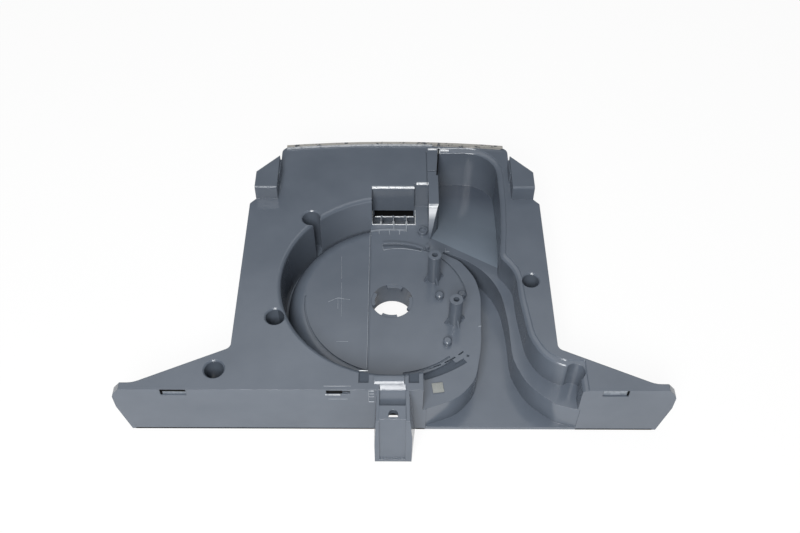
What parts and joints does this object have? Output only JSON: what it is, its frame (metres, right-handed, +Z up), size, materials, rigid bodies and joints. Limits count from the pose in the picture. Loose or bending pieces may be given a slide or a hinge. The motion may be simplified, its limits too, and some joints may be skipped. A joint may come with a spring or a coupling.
{
  "type": "moulded plastic housing",
  "caption": "Thin-walled T-shaped plastic moulding with a round bowl, a raised platform, a rear pocket and a curved outlet channel to the front.",
  "frame": {"origin": "middle of the bounding box, on the base plane", "axes": "+X across the wings, +Y from the front face to the rear edge, +Z up from the base to the deck"},
  "size_m": [0.31, 0.2148, 0.0525],
  "materials": {
    "housing_plastic": "slate-grey moulded plastic, satin",
    "foam": "pale foam, matt"
  },
  "bodies": {
    "root": {"housing": "housing_plastic", "foam_pad": "foam"}
  },
  "joints": []
}
